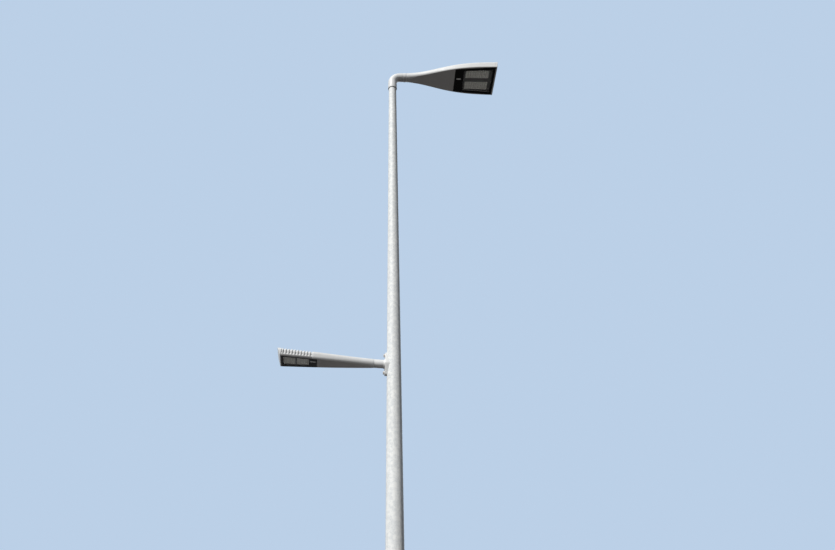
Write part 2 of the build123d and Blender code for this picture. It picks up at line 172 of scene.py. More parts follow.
# %% A finish and what all finishes share
class Finish:
    """A material in the making: its shader, its object coordinates and its paint slot."""

    def __init__(self, name, slot, colour, roughness, metallic=0.0, more=None):
        self.material, self.slot = bpy.data.materials.new(name), slot
        self.material.use_nodes = True
        self.tree = self.material.node_tree
        self.shader = self.tree.nodes["Principled BSDF"]
        plain = {"Base Color": (*colour, 1), "Roughness": roughness, "Metallic": metallic}
        for socket, value in (plain | (more or {})).items():
            self.shader.inputs[socket].default_value = value
        self.place = node(self.tree, "ShaderNodeTexCoord").outputs["Object"]

    def feed(self, socket, value):
        """Links a value to one of the shader's sockets."""
        self.tree.links.new(value, self.shader.inputs[socket])

    def spread(self, value, low, high, to_low, to_high):
        """Carries a value from one range onto another."""
        return spread(self.tree, value, low, high, to_low, to_high)

    def noise(self, scale, detail=3.0, stretch=(1, 1, 1)):
        """Noise of a given scale, its pattern squeezed along each axis by the stretch."""
        moved = node(self.tree, "ShaderNodeMapping", {"Vector": self.place, "Scale": stretch})
        inputs = {"Vector": moved.outputs[0], "Scale": scale, "Detail": detail}
        return node(self.tree, "ShaderNodeTexNoise", inputs).outputs["Fac"]

    def blend(self, share, first, second):
        """The colour that lies the given share of the way from the first to the second."""
        first, second = ((*c, 1) if isinstance(c, tuple) else c for c in (first, second))
        inputs = {0: share, 6: first, 7: second}
        return node(self.tree, "ShaderNodeMix", inputs, data_type="RGBA").outputs[2]

    def tint(self, share, first, second):
        """Colours the shader with a blend."""
        self.feed("Base Color", self.blend(share, first, second))

    def roughen(self, value, low, high, smooth, rough):
        """Lets a value set the roughness between two limits."""
        self.feed("Roughness", self.spread(value, low, high, smooth, rough))

    def bump(self, height, depth, strength):
        """Tilts the surface by a height pattern of the given depth in metres."""
        inputs = {"Height": height, "Distance": depth, "Strength": strength}
        self.feed("Normal", node(self.tree, "ShaderNodeBump", inputs).outputs[0])


# %% [markdown]
# ### Hot-dip zinc
# Molten zinc freezes on the steel in ragged crystals, each with its own grey. It weathers
# to a matt pale grey with faint streaks where rain runs down, and road splash soils the
# foot. Voronoi cells give the crystals, and a fine noise multiplied into their coordinates
# tears their outlines. More noise gives the cloudy patches, and noise stretched upwards
# gives the streaks. The metal share is low, because weathered zinc hardly mirrors.

# %% Zinc on the pole, plate and door
dull = {"Specular IOR Level": 0.3}
zinc = Finish("weathered_zinc", "galvanised_steel", (0.80, 0.81, 0.82), 0.5, 0.05, dull)
fine = {"Vector": zinc.place, "Scale": 120.0, "Detail": 2.0}
ruffle = node(zinc.tree, "ShaderNodeTexNoise", fine).outputs["Color"]
shift = node(zinc.tree, "ShaderNodeVectorMath", {0: ruffle, "Scale": 0.006}, operation="SCALE")
torn = {0: zinc.place, 1: ruffle, 2: shift.outputs[0]}
ragged = node(zinc.tree, "ShaderNodeVectorMath", torn, operation="MULTIPLY_ADD").outputs[0]
crystals = node(zinc.tree, "ShaderNodeTexVoronoi", {"Vector": ragged, "Scale": 75.0}).outputs
grain = node(zinc.tree, "ShaderNodeSeparateColor", {"Color": crystals["Color"]}).outputs["Red"]
cloud, streak = zinc.noise(38.0, 4.0), zinc.noise(1.0, 4.0, (70, 70, 1.6))
greys = zinc.blend(grain, (0.56, 0.60, 0.63), (0.92, 0.93, 0.92))
cloudy = zinc.blend(zinc.spread(cloud, 0.44, 0.60, 0.0, 0.80), greys, (0.90, 0.91, 0.90))
streaked = zinc.blend(zinc.spread(streak, 0.50, 0.75, 0.0, 0.28), cloudy, (0.50, 0.51, 0.50))
height = node(zinc.tree, "ShaderNodeSeparateXYZ", {"Vector": zinc.place}).outputs["Z"]
splash = combined(zinc.tree, "MULTIPLY", zinc.spread(height, 0.0, 0.45, 0.60, 0.0), cloud)
zinc.tint(splash, streaked, (0.36, 0.32, 0.27))
zinc.roughen(grain, 0.0, 1.0, 0.56, 0.72)
zinc.bump(crystals["Distance"], 0.0002, 0.35)
print("zinc nodes", len(zinc.tree.nodes))

# %% [markdown]
# ### Light grey paint
# The castings are powder coated in a light grey. Powder flows out with a faint orange
# peel, about a millimetre across, and years outdoors leave a thin film of dust on top
# and faint runs on the sides. Faces that look down are painted dark grey as painted
# shade, the shade under the lamp heads. Dust and painted shade follow the surface's tilt.
# The ribbed casting gets a coat whose painted shade reaches further up its sides, as
# shade between the ribs.


# %% Paint on the castings
def paint_finish(name, underside_shade, shade_start):
    """Powder coat: orange peel, runs, dust where it looks up, painted shade where it looks down.

    The painted shade sets in where the upward part of the normal falls below shade_start.
    """
    colour, shaded = (0.80, 0.81, 0.81), (0.752, 0.7614, 0.7614)
    finish = Finish(name, "light_grey_paint", colour, 0.38)
    cloud, runs = finish.noise(14.0, 4.0), finish.noise(1.0, 3.0, (85, 85, 5))
    base = finish.blend(finish.spread(cloud, 0.3, 0.7, 0.0, 1.0), colour, shaded)
    normal = node(finish.tree, "ShaderNodeNewGeometry").outputs["Normal"]
    upward = node(finish.tree, "ShaderNodeSeparateXYZ", {"Vector": normal}).outputs["Z"]
    settled = finish.spread(upward, 0.2, 1.0, 0.0, 0.45)
    settled = combined(finish.tree, "MULTIPLY", settled, cloud)
    dusty = finish.blend(settled, base, (0.46, 0.44, 0.40))
    streaked = finish.blend(finish.spread(runs, 0.55, 0.80, 0.0, 0.16), dusty, (0.45, 0.44, 0.42))
    # Painted shade: the colour goes towards dark grey as the normal turns down past shade_start.
    finish.tint(finish.spread(upward, -0.95, shade_start, underside_shade, 0.0), streaked, (0.26, 0.25, 0.25))
    finish.roughen(cloud, 0.3, 0.7, 0.44, 0.56)
    finish.bump(finish.noise(700.0, 1.0), 0.00008, 0.5)
    return finish


# Both coats paint shade on faces that look down; on the ribbed coat it reaches up the sides.
paint = paint_finish("light_grey_powder_coat", underside_shade=0.8, shade_start=-0.5)
ribbed_paint = paint_finish("ribbed_shaded_powder_coat", underside_shade=0.85, shade_start=0.5)
print("paint nodes", len(paint.tree.nodes))

# %% [markdown]
# ### Rim, pane, lenses and boards
# The rim round each pane is gloss black with a faint film. The pane is thin clear glass
# that lets light through as alpha too, so the boards behind it stay lit. The lenses
# are slightly milky plastic over yellow chips, the boards are matt white, and the sheet
# behind them is dark.

# %% Finishes of the light's optics
matt = {"Specular IOR Level": 0.10}
black = Finish("gloss_black_rim", "black_frame", (0.004, 0.004, 0.005), 0.1, more=matt)
film = black.noise(30.0, 5.0)
black.roughen(film, 0.35, 0.75, 0.06, 0.16)
black.tint(black.spread(film, 0.5, 0.8, 0.0, 0.02), (0.004, 0.004, 0.005), (0.20, 0.19, 0.18))

clear = {"Transmission Weight": 1.0, "IOR": 1.5, "Alpha": 0.06}
glass = Finish("clear_pane", "lamp_glass", (0.86, 0.95, 0.94), 0.03, more=clear)
glass.roughen(glass.noise(22.0, 4.0), 0.4, 0.8, 0.02, 0.09)

milky = {"Transmission Weight": 0.15, "IOR": 1.49, "Alpha": 0.85}
lens_plastic = Finish("milky_lens", "lamp_glass", (0.95, 0.95, 0.90), 0.10, more=milky)
lens_plastic.roughen(lens_plastic.noise(260.0), 0.3, 0.7, 0.04, 0.12)

mask_white = Finish("white_solder_mask", "board_white", (0.50, 0.51, 0.49), 0.45)
patches = mask_white.spread(mask_white.noise(60.0), 0.35, 0.65, 0.0, 1.0)
mask_white.tint(patches, (0.46, 0.47, 0.45), (0.54, 0.55, 0.53))

phosphor = Finish("yellow_phosphor", "board_white", (0.85, 0.62, 0.10), 0.4)
phosphor.tint(phosphor.noise(300.0), (0.88, 0.64, 0.10), (0.80, 0.58, 0.12))

tray_paint = Finish("dark_tray", "tray_grey", (0.10, 0.10, 0.105), 0.5)
tray_paint.tint(tray_paint.noise(40.0), (0.085, 0.085, 0.09), (0.12, 0.12, 0.12))
tray_paint.bump(tray_paint.noise(500.0), 0.00005, 0.5)
print("finishes", len(bpy.data.materials))

# %% [markdown]
# ### Fasteners
# Stainless screws have a brushed grain with dull patches. The two bolts of the bracket are
# zinc plated and rust in spots, and the elbow's grub screws are blackened.

# %% Finishes of the fasteners
steel = Finish("plain_steel", "screw_steel", (0.60, 0.60, 0.59), 0.36, 0.9)
steel.roughen(steel.noise(1.0, 2.0, (300, 300, 2500)), 0.3, 0.7, 0.27, 0.46)
patches = steel.spread(steel.noise(90.0), 0.5, 0.8, 0.0, 0.5)
steel.tint(patches, (0.62, 0.62, 0.61), (0.42, 0.38, 0.33))

old_zinc = Finish("weathered_bolt", "screw_steel", (0.66, 0.62, 0.57), 0.5, 0.25)
rust = old_zinc.spread(old_zinc.noise(160.0, 4.0), 0.50, 0.72, 0.0, 0.55)
old_zinc.tint(rust, (0.68, 0.65, 0.62), (0.36, 0.21, 0.11))

black_oxide = Finish("blackened_screw", "screw_steel", (0.035, 0.034, 0.033), 0.4, 0.4)
black_oxide.roughen(black_oxide.noise(220.0), 0.3, 0.7, 0.32, 0.5)
print("finishes", len(bpy.data.materials))

# %% [markdown]
# ## From a grid of points to a piece
# Almost every piece here is a grid: rows along it, columns around it. Quads join
# neighbours, and an end ring gets a flat cap. Rows that fall on each other, as at a pole or
# a step, are merged afterwards, so a profile may end in a point. One function makes the
# object, rides it on the frame, gives it its finish and hides the CAD node it stands for.


# %% Faces of a grid
def grid_quads(rows, columns, wrap):
    """Each quad joins a point, the next one round, and their neighbours in the next row."""
    along = np.arange(rows - 1)[:, None] * columns
    here = np.arange(columns if wrap else columns - 1)[None, :]
    after = (here + 1) % columns
    corners = (along + here, along + after, along + columns + after, along + columns + here)
    return np.stack(np.broadcast_arrays(*corners), -1).reshape(-1, 4)


def solid(points):
    """A grid that closes round, with both of its end rings capped."""
    return points, True, True


def tube(points):
    """A grid that closes round, with ends that stay open or come to a point."""
    return points, True, False


print("a ring of 8 columns and 3 rows has", len(grid_quads(3, 8, True)), "quads")


# %% One mesh from several grids
def grid_mesh(name, grids):
    """One mesh from grids given as (points, wrap, capped), doubles merged, faces outward.

    Points have the shape rows, columns, 3, or count, rows, columns, 3 for repeats.
    """
    vertices, faces, start = [], [], 0
    for points, wrap, capped in grids:
        rows, columns = points.shape[-3:-1]
        repeats = points.reshape(-1, rows * columns, 3)
        shift = start + np.arange(len(repeats)) * rows * columns
        quads = grid_quads(rows, columns, wrap)[None] + shift[:, None, None]
        faces += quads.reshape(-1, 4).tolist()
        if capped:
            ring = np.arange(columns)[None] + shift[:, None]
            faces += ring.tolist() + (ring + (rows - 1) * columns).tolist()
        vertices.append(repeats.reshape(-1, 3))
        start += repeats.size // 3
    mesh = bpy.data.meshes.new(name)
    mesh.from_pydata(np.concatenate(vertices).tolist(), [], faces)
    edit = bmesh.new()
    edit.from_mesh(mesh)
    bmesh.ops.remove_doubles(edit, verts=edit.verts, dist=1e-5)
    bmesh.ops.recalc_face_normals(edit, faces=edit.faces)
    edit.to_mesh(mesh)
    edit.free()
    return mesh


# %% The finished piece
def dress(made, finish):
    """Gives an object one finish, in the slots of its own mesh."""
    made.data.materials.clear()
    made.data.materials.append(finish.material)


def finish_piece(made, finish, nodes=(), sharp=35):
    """Links the object, shades it smooth up to an angle and ties it to the frame."""
    bpy.context.scene.collection.objects.link(made)
    dress(made, finish)
    made.data.shade_smooth()
    made.data.set_sharp_from_angle(angle=radians(sharp))
    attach(made, "root")
    if nodes:
        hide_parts(*nodes)
    size = [round(length, 3) for length in made.dimensions]
    print(made.name, "faces", len(made.data.polygons), "size", size)


def make_piece(name, grids, finish, nodes=(), sharp=35):
    """A new piece from point grids."""
    finish_piece(bpy.data.objects.new(name, grid_mesh(name, grids)), finish, nodes, sharp)


# %% [markdown]
# ## Outlines and turned shapes
# Few shapes make all the small parts. A profile turned round an axis gives washers, tubes
# and screws; the same profile with its radius pulled to a polygon gives bolt heads and key
# holes. The hull of a few circles gives plates with round ends. Corners are eased with
# arcs, because a cast or pressed edge is never sharp.


# %% Eased corners
def eased(corners, radius, steps=4, closed=True):
    """Replaces each corner by an arc that touches both of its sides.

    The arc's centre lies on the corner's bisector at radius / sin(half the angle).
    """
    corner = np.asarray(corners, float)
    radius = np.broadcast_to(np.asarray(radius, float), len(corner)).copy()
    if not closed:
        radius[[0, -1]] = 0
    before = np.roll(corner, 1, 0) - corner
    after = np.roll(corner, -1, 0) - corner
    before /= np.linalg.norm(before, axis=1, keepdims=True)
    after /= np.linalg.norm(after, axis=1, keepdims=True)
    half = np.arccos(np.clip((before * after).sum(1), -1, 1)) / 2
    half = np.clip(half, 1e-3, pi / 2 - 1e-3)
    middle = before + after
    middle /= np.linalg.norm(middle, axis=1, keepdims=True) + 1e-12
    centre = corner + middle * (radius / np.sin(half))[:, None]
    reach = radius / np.tan(half)
    first = corner + before * reach[:, None] - centre
    last = corner + after * reach[:, None] - centre
    sweep = (pi - 2 * half)[:, None, None]
    share = np.linspace(0, 1, steps + 1)[None, :, None]
    arc = np.sin((1 - share) * sweep) * first[:, None] + np.sin(share * sweep) * last[:, None]
    return (centre[:, None] + arc / np.sin(sweep)).reshape(-1, 2)


def eased_box(corners, radius, inset, steps):
    """Four corners, from the lowest one round, moved inwards and then eased."""
    inwards = np.array([(1, 1), (-1, 1), (-1, -1), (1, -1)])
    return eased(np.asarray(corners) + inset * inwards, radius - inset, steps)


def quarter_round(ease, steps):
    """A rounded edge in steps: how far each is in from the side, and how far from the face."""
    angle = np.linspace(0, pi / 2, steps)
    return ease * (1 - np.cos(angle)), ease * (1 - np.sin(angle))


print("an eased square has", len(eased([(0, 0), (1, 0), (1, 1), (0, 1)], 0.1)), "points")


# %% Hulls, stacks and turned profiles
def circle(count):
    """Evenly spaced angles, once round."""
    return np.linspace(0, 2 * pi, count, endpoint=False)


def about_z(reach, angle, z):
    """Points at a reach from the z axis, an angle and a height."""
    return np.stack(np.broadcast_arrays(reach * np.cos(angle), reach * np.sin(angle), z), -1)


def hull_outline(circles, count, inset=0.0):
    """The hull of circles (x, y, radius): in each direction, the furthest circle's edge."""
    circles, angle = np.asarray(circles, float), circle(count)
    way = np.stack([np.cos(angle), np.sin(angle)], -1)
    furthest = np.argmax(way @ circles[:, :2].T + circles[:, 2], axis=1)
    return circles[furthest, :2] + way * (circles[furthest, 2] - inset)[:, None]


def stack(outlines, heights):
    """Rows of one outline each, at the given heights along z."""
    outlines = np.asarray(outlines, float)
    heights = np.asarray(heights, float)[:, None, None] + 0 * outlines[..., :1]
    return np.concatenate([outlines, heights], -1)


def turned_profile(profile, count, sides=6):
    """Turns rows of (height, radius, polygon share) round the z axis.

    The radius at each angle goes, by the share, from the circle to the polygon on it.
    """
    profile = np.asarray(profile, float)
    if profile.shape[1] == 2:
        profile = np.column_stack([profile, np.zeros(len(profile))])
    angle, step = circle(count), 2 * pi / sides
    polygon = cos(step / 2) / np.cos(angle % step - step / 2)
    height, radius, share = (profile[:, i : i + 1] for i in range(3))
    return about_z(radius * (1 + share * (polygon - 1)), angle, height)


def aimed(points, origin, way):
    """Moves points so that their z axis runs along the given way from the origin."""
    way = np.asarray(way, float) / np.linalg.norm(way)
    spare = np.array([0.0, 0.0, 1.0]) if abs(way[2]) < 0.9 else np.array([1.0, 0.0, 0.0])
    across = np.cross(spare, way)
    across /= np.linalg.norm(across)
    return points @ np.stack([across, np.cross(way, across), way]) + np.asarray(origin)


print("a slot's outline starts at", hull_outline([(-1, 0, 1), (1, 0, 1)], 8)[0].round(2))

# %% [markdown]
# ## The pole
# A sheet of steel is pressed into a long cone and welded up its back. The wall has a
# slot-shaped opening for the service door. A plain cone with a hole punched by a Boolean
# would shade badly round the hole, so the surface is laid out in angle and height: plain
# bands above, below and beside the door, and a patch whose rows go from a rectangle to the
# slot. The same layout, 4 mm further in, gives the inner wall.

# %% Sizes of the pole and its door
pole_foot, pole_top = 0.020, 6.985
foot_radius, top_radius, pole_wall = 0.087, 0.0381, 0.004
door_middle, door_half_height, door_half_width = 0.700, 0.200, 0.045
door_spread, door_band = radians(44), 0.240


def pole_radius(z, inset=0.0):
    """Radius at height z: a straight taper from foot to top."""
    share = (z - pole_foot) / (pole_top - pole_foot)
    return foot_radius + (top_radius - foot_radius) * share - inset


def on_pole(angle, z, inset=0.0):
    """Points at an angle from the -Y side and a height, on the cone."""
    radius = pole_radius(z, inset)
    return np.stack(np.broadcast_arrays(radius * np.sin(angle), -radius * np.cos(angle), z), -1)


print("radius at the door", round(pole_radius(door_middle), 4))


# %% Bands and door patch of one wall
def door_patch():
    """Angles and heights of rows that go from the band's rectangle in to the slot."""
    across = np.linspace(-door_spread, door_spread, 15)
    rows = np.linspace(door_middle - door_band, door_middle + door_band, 31)
    ring = np.concatenate([
        np.stack([across, 0 * across + rows[0]], -1),
        np.stack([0 * rows + door_spread, rows], -1)[1:],
        np.stack([across[::-1], 0 * across + rows[-1]], -1)[1:],
        np.stack([0 * rows - door_spread, rows[::-1]], -1)[1:-1],
    ])
    spine = door_half_height - door_half_width
    spine = np.clip(ring[:, 1] - door_middle, -spine, spine)
    away = np.stack([ring[:, 0] * pole_radius(door_middle), ring[:, 1] - door_middle - spine], -1)
    away *= door_half_width / np.linalg.norm(away, axis=1, keepdims=True)
    slot_z = door_middle + spine + away[:, 1]
    slot = np.stack([np.arcsin(away[:, 0] / pole_radius(slot_z)), slot_z], -1)
    share = np.linspace(0, 1, 6)[:, None, None]
    return ring[None] * (1 - share) + slot[None] * share


def pole_wall_grids(inset):
    """The cone as bands in angle and height, and the patch round the door opening."""
    low, high = door_middle - door_band, door_middle + door_band
    below = on_pole(around[None], np.array([pole_foot, low])[:, None], inset)
    above = on_pole(around[None], np.linspace(high, pole_top, 30)[:, None], inset)
    side = on_pole(beside[None], np.linspace(low, high, 31)[:, None], inset)
    return [tube(below), tube(above), (side, False, False), tube(on_pole(*patch, inset))]


back = np.linspace(door_spread, 2 * pi - door_spread, 84)[1:-1]
around = np.concatenate([np.linspace(-door_spread, door_spread, 15), back])
beside = np.concatenate([[door_spread], back, [-door_spread]])
patch = np.moveaxis(door_patch(), -1, 0)
insets = np.array([0.0, pole_wall])[:, None]
rims = [tube(on_pole(around[None], np.full((2, 1), z), insets)) for z in (pole_foot, pole_top)]
slot_edge = tube(on_pole(*patch[:, -1:], insets))
walls = pole_wall_grids(0.0) + pole_wall_grids(pole_wall)
make_piece("pole_tube", walls + [slot_edge] + rims, zinc, ["pole_shaft"])

# %% [markdown]
# ## Plates with softened edges
# The foot plate and the door come out of the CAD with the right outline and holes, and
# sharp edges. Flame-cut and pressed steel has edges rounded by a millimetre, which catch
# the light. A copy of the CAD mesh is merged, its flat faces are joined, and a Bevel
# modifier rounds every edge sharper than 30 degrees.


# %% Softened copies of two CAD nodes
def soften(node_name, name, width):
    """A merged copy of a zinc coated CAD node with its sharp edges rounded."""
    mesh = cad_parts[node_name].data.copy()
    edit = bmesh.new()
    edit.from_mesh(mesh)
    bmesh.ops.remove_doubles(edit, verts=edit.verts, dist=1e-5)
    bmesh.ops.dissolve_limit(edit, angle_limit=radians(0.5), verts=edit.verts, edges=edit.edges)
    edit.to_mesh(mesh)
    edit.free()
    made = bpy.data.objects.new(name, mesh)
    rounding = made.modifiers.new("rounded_edges", "BEVEL")
    rounding.width, rounding.segments = width, 2
    rounding.limit_method, rounding.angle_limit = "ANGLE", radians(30)
    rounding.harden_normals = True
    finish_piece(made, zinc, [node_name])


soften("base_plate", "foot_plate", 0.0015)
soften("door_cover", "service_door", 0.0008)

# %% [markdown]
# ## Welds
# The pole is welded to its foot plate all round. A hand weld is a row of overlapping
# ripples, each a flat scallop. The bead is a grid round the pole: across it, a fillet that
# bulges a little; along it, a saw of ripples that lags behind at the bead's edges.


# %% Weld round the pole's foot
def weld_bead(radius, low, leg, count):
    """Fillet from pole to plate, bulged by a sine and rippled along its length."""
    angle, across = circle(720), np.linspace(0, 1, 9)[:, None]
    lag = 1.6 * (across - 0.5) ** 2
    ripple = (angle * count / (2 * pi) + lag) % 1.0
    bulge = np.sin(pi * across) * (0.0010 + 0.0006 * ripple + 0.0002 * np.sin(5 * angle))
    outward = leg * across + bulge * 0.7
    upward = leg * (1 - across) + bulge * 0.7
    bead = about_z(radius + np.clip(outward, 0, leg + 0.001), angle, low + upward)
    heel = about_z(radius - 0.001, angle, low)[None]
    top = heel + [0, 0, leg]
    return np.concatenate([top, bead, heel, top])


bead = weld_bead(foot_radius, pole_foot, leg=0.009, count=130)
make_piece("foot_weld", [tube(bead)], zinc, ["base_weld"], sharp=60)

# %% [markdown]
# ## Door locks
# Each lock is a short barrel with a triangular post in a round well, so that a lamp key
# fits over it. It is one profile turned round its axis: out over the rim, down into the
# well, then up the post, whose radius is pulled to a triangle.

# %% Two locks
lock_profile = [
    (-0.004, 0, 0), (-0.004, 0.011, 0), (0.0042, 0.011, 0), (0.005, 0.0102, 0),
    (0.005, 0.0078, 0), (0.0046, 0.0074, 0), (0.0008, 0.0074, 0), (0.0008, 0.0058, 1),
    (0.0040, 0.0056, 1), (0.0044, 0.0050, 1), (0.0044, 0.0, 1),
]
barrel = turned_profile(lock_profile, 48, sides=3)
locks = [
    tube(aimed(barrel, (0, -pole_radius(z), z), (0, -1, 0)))
    for z in (door_middle - 0.155, door_middle + 0.155)
]
make_piece("door_lock_barrels", locks, steel, ["door_locks"])

# %% [markdown]
# ## The cast elbow
# The elbow is one aluminium casting: a sleeve over the pole, a quarter bend and a short
# arm. A circle carried along that path would do, and its radius changes on the way: in at
# the bore, round the rolled rim, slightly narrower up the sleeve, and down to the nose the
# lamp head slides over. Path and radius are both plain functions of the length travelled.

# %% Elbow along its path
bend_start, bend_radius = 6.986, 0.080
upper_axis = bend_start + bend_radius
bend_length = bend_radius * pi / 2


def elbow_rings(travelled, radius):
    """Circles of the given radii round the path: straight up, a quarter turn, straight out."""
    turn = np.clip(travelled, 0, bend_length) / bend_radius
    out = bend_radius * (1 - np.cos(turn)) + np.maximum(0, travelled - bend_length)
    up = bend_start + np.minimum(0, travelled) + bend_radius * np.sin(turn)
    angle = circle(64)
    inward, sideways = radius[:, None] * np.cos(angle), radius[:, None] * np.sin(angle)
    x = out[:, None] + inward * np.cos(turn)[:, None]
    z = up[:, None] - inward * np.sin(turn)[:, None]
    return np.stack([x, sideways, z], -1)


bore, bore_end, rolled, sleeve, shoulder, nose = 0.0405, 0.075, 0.0465, 0.0450, 0.0460, 0.0300
rim, arm_end, nose_end = -0.086, bend_length + 0.037, bend_length + 0.180
lip = [(rim + bore_end, bore), (rim, bore), (rim, rolled), (0.0, sleeve)]
lip = eased(lip, [0, 0.0015, 0.0025, 0], 5, closed=False)
bend = np.column_stack([np.linspace(0, bend_length, 28), np.full(28, sleeve)])[1:-1]
arm = [(bend_length + 0.002, sleeve), (arm_end, shoulder), (arm_end, nose), (nose_end, nose)]
arm = eased(arm, [0, 0.0030, 0, 0], 4, closed=False)
path = np.concatenate([[(rim + bore_end, 0.0)], lip, bend, arm, [(nose_end, 0.0)]])
make_piece("elbow_casting", [tube(elbow_rings(*path.T))], paint, ["elbow_bracket"])

# %% [markdown]
# ## Socket screws
# Three grub screws hold the sleeve on the pole, and two screws close the clamp ring. Both
# have a hexagonal socket: the profile runs over the head and down into the socket, where
# its radius is pulled to a hexagon.


# %% Screws in the elbow and the ring
def screw(origin, way, foot, top, radius, socket, depth):
    """A turned screw with an eased head and a hexagonal socket, aimed along a way."""
    ease = 0.12 * radius
    profile = [
        (foot, 0, 0), (foot, radius, 0), (top - ease, radius, 0), (top, radius - ease, 0),
        (top, socket * 1.2, 0), (top - 0.0003, socket, 1), (top - depth, socket, 1), (top - depth, 0, 1),
    ]
    return aimed(turned_profile(profile, 36), origin, way)


screw_height = bend_start + rim + 0.068
grub_size = {"foot": 0.0389, "top": 0.0451, "radius": 0.005, "socket": 0.0029, "depth": 0.004}
grub_ways = [(cos(angle), sin(angle), 0) for angle in radians(-110) + np.arange(3) * 2 * pi / 3]
grubs = [tube(screw((0, 0, screw_height), way, **grub_size)) for way in grub_ways]
make_piece("elbow_set_screws", grubs, black_oxide, ["elbow_grub_screws"])

ring_start, ring_end = 0.1175, 0.1495
ring_middle = ((ring_start + ring_end) / 2, 0, upper_axis)
ring_ways = [(0, cos(radians(35)), side * sin(radians(35))) for side in (-1, 1)]
ring_size = {"foot": 0.0460, "top": 0.0495, "radius": 0.005, "socket": 0.0029, "depth": 0.0026}
ring_screws = [tube(screw(ring_middle, way, **ring_size)) for way in ring_ways]
make_piece("clamp_ring_screws", ring_screws, steel, ["upper_clamp_screws"])

# %% [markdown]
# ## The clamp ring
# The ring sits between the elbow and the lamp head. It shows as a band between two fine
# seams, so both of its edges are eased and its seams are real gaps.

# %% Ring profile turned round the arm
ring_bore, ring_radius = 0.0303, 0.0470
ring_profile = [
    (ring_start, ring_bore), (ring_start, ring_radius), (ring_end, ring_radius), (ring_end, ring_bore),
]
ring_profile = eased(ring_profile, [0, 0.0030, 0.0030, 0])
ring_profile = np.concatenate([ring_profile, ring_profile[:1]])
ring = aimed(turned_profile(ring_profile, 64), (0, 0, upper_axis), (1, 0, 0))
make_piece("clamp_ring", [tube(ring)], paint, ["upper_clamp_ring"])

# %% [markdown]
# ## The form of a lamp head
# Both lamp heads are castings whose section changes along their length: a circle where
# they slide over the nose, and a flat, softly crowned box at the tip. Free sculpting would
# miss that rule, so each section is worked out from a few sizes: a crown arc, a shoulder
# arc, a straight side, a heel arc and a small fillet into the flat underside. A share of
# the way takes each size from its value at the neck to its value at the head.


# %% Sizes and sections of a head at any station
def arc(y, z, radius, angle):
    """Points on an arc about a centre, from the side (0) to the top, and their normals."""
    across, upward = np.cos(angle), np.sin(angle)
    return y + radius * across, z + radius * upward, across, upward


class HeadForm:
    """A lamp head: its sizes in metres, as named in the call, along its own x axis."""

    plan_heel, shoulder = 0.016, 0.026

    def __init__(self, **sizes):
        vars(self).update(sizes)

    def size(self, x, at_neck, at_head):
        """A size at station x, between its values at the neck and at the head."""
        return at_neck + (at_head - at_neck) * self.share(x)

    def flat_half(self, x):
        """Half width that rim and pane are laid out on: where a 16 mm heel meets the flat."""
        heel = self.size(x, self.neck - 0.0005, self.plan_heel)
        below = np.maximum(0.0, self.drop - self.size(x, self.neck, self.fall) + heel)
        return self.size(x, self.neck, self.half_width) - heel + np.sqrt(heel**2 - below**2)

    def half_section(self, x, pocket=None):
        """Points and outward normals from the crown's middle to the underside's middle.

        Arcs follow one another. The pocket, if given as (half width, depth) at each
        station, steps up into the underside.
        """
        x = np.asarray(x, float)[:, None]
        half, top = self.size(x, self.neck, self.half_width), self.size(x, self.neck, self.top)
        fall, crown = self.size(x, self.neck, self.fall), self.size(x, 0.7 * self.neck, self.crown)
        shoulder, heel = (self.size(x, self.neck - 0.0005, size) for size in (self.shoulder, self.heel))
        radius = (half**2 + crown**2) / (2 * crown)
        reach, heel_z = half - shoulder, heel - fall
        shoulder_z = top - radius + np.sqrt((radius - shoulder) ** 2 - reach**2)
        slope = np.arcsin(reach / (radius - shoulder))
        under = np.maximum(-fall, self.underside(x))
        sink = np.arcsin(np.clip((heel_z - under - self.fillet) / (heel - self.fillet), 0, 1))
        fillet_y = half - heel + (heel - self.fillet) * np.cos(sink)
        pocket_half, depth = 0.5 * fillet_y, 0 * x
        if pocket is not None:
            pocket_half, depth = np.minimum(pocket[0][:, None], 0.95 * fillet_y), pocket[1][:, None]
        to_top = np.linspace(0, 1, 16)[None]
        round_shoulder, down, round_heel, round_fillet, inwards = (
            np.linspace(0, 1, count)[None, 1:] for count in (7, 5, 6, 3, 5))
        side_z = shoulder_z + (heel_z - shoulder_z) * down
        border = fillet_y + (pocket_half - fillet_y) * inwards
        ceiling = pocket_half * (1 - inwards)
        bottom_y = np.concatenate([border, pocket_half, ceiling], 1)
        bottom_z = np.concatenate([under + 0 * border, under + depth, under + depth + 0 * ceiling], 1)
        pieces = (
            arc(0, top - radius, radius, pi / 2 - slope * to_top),
            arc(reach, shoulder_z, shoulder, (pi / 2 - slope) * (1 - round_shoulder)),
            (half + 0 * side_z, side_z, 1 + 0 * side_z, 0 * side_z),
            arc(half - heel, heel_z, heel, -sink * round_heel),
            arc(fillet_y, under + self.fillet, self.fillet, -sink - (pi / 2 - sink) * round_fillet),
            (bottom_y, bottom_z, 0 * bottom_y, -1 + 0 * bottom_y),
        )
        return [np.concatenate(parts, 1) for parts in zip(*pieces)]

    def rings(self, x, inset=0.0, pocket=None):
        """Closed sections at every station, set in along their normals.

        The inset is a number, one for each station, or a function of height and normal.
        """
        y, z, across, upward = self.half_section(x, pocket)
        inset = inset(z, upward) if callable(inset) else np.reshape(inset, (-1, 1))
        y, z = y - inset * across, z - inset * upward
        y[:, 0] = y[:, -1] = 0.0
        y = np.concatenate([y, -y[:, -2:0:-1]], 1)
        z = np.concatenate([z, z[:, -2:0:-1]], 1)
        return np.stack([np.asarray(x)[:, None] + 0 * z, y, z], -1)


# %% [markdown]
# The upper head widens by a bell curve, the lower one almost straight with a slight bow.
# Each stands in its own arm's axes, so two short functions carry points into the frame:
# the upper arm is only lifted, the lower one is tilted up 2 degrees and turned. A head
# also keeps the sizes of its window: where the black rim starts and ends along the arm,
# its face, its margin, and how wide it is (its bar towards the arm, its border elsewhere).

# %% The two arms and their heads
lower_axis, tilt, turn = 3.785, radians(2.0), radians(185.6)


def on_upper_arm(points):
    """The upper arm is level and points along +X."""
    return points + [0, 0, upper_axis]


